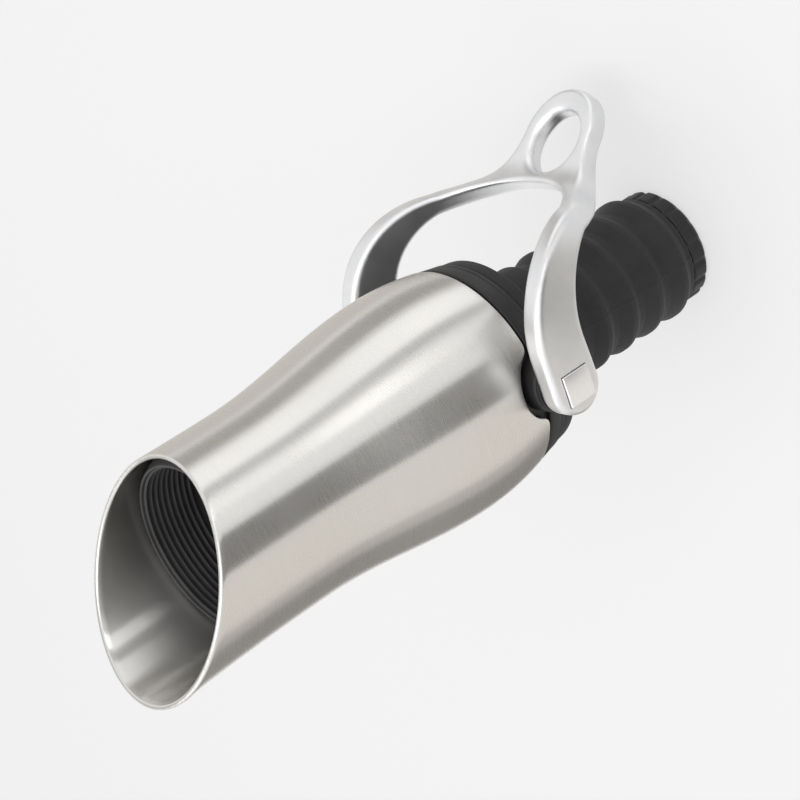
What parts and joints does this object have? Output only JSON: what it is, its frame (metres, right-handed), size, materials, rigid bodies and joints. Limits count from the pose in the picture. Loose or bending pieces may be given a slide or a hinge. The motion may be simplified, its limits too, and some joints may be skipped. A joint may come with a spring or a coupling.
{
  "type": "liquor pourer",
  "caption": "Bottle pourer with a slanted brushed steel spout, a black collar, a finned rubber neck plug and a wishbone lever that turns a ball valve.",
  "frame": {"origin": "on the pouring axis, in the plane where the gasket rests on the neck's lip", "axes": "+Z along the pouring axis towards the mouth, +X towards the lever, -X towards the pouring lip, Y along the valve's pivot"},
  "size_m": [0.0442, 0.0434, 0.1029],
  "materials": {
    "brushed_steel": "satin, finely brushed round its axis",
    "satin_metal": "satin casting with rounded edges",
    "spindle_steel": "turned, with a square end",
    "ball_chrome": "polished",
    "black_plastic": "moulded, semi-matte",
    "liner_black": "moulded, ribbed inside",
    "soft_black": "matte",
    "plug_rubber": "matte, slightly dusty",
    "seal_rubber": "smooth",
    "seat_white": "waxy"
  },
  "bodies": {
    "pourer": {"spout_sleeve": "brushed_steel", "valve_body": "black_plastic", "lip_gasket": "soft_black", "pour_liner": "liner_black", "liner_o_ring": "seal_rubber", "sleeve_o_ring": "seal_rubber", "front_seat": "seat_white", "rear_seat": "seat_white", "left_washer": "black_plastic", "right_washer": "black_plastic", "stem_tube": "black_plastic", "stem_o_ring": "seal_rubber", "stopper_plug": "plug_rubber", "plug_retainer": "black_plastic"},
    "lever_set": {"lever": "satin_metal", "left_spindle": "spindle_steel", "right_spindle": "spindle_steel", "left_spindle_o_ring": "seal_rubber", "right_spindle_o_ring": "seal_rubber", "valve_ball": "ball_chrome"}
  },
  "joints": [
    {"name": "lever_turn", "type": "hinge", "parent": "pourer", "child": "lever_set", "pos_m": [0, 0, 0.005], "axis": [0, -1, 0], "range_deg": [0, 90]}
  ]
}
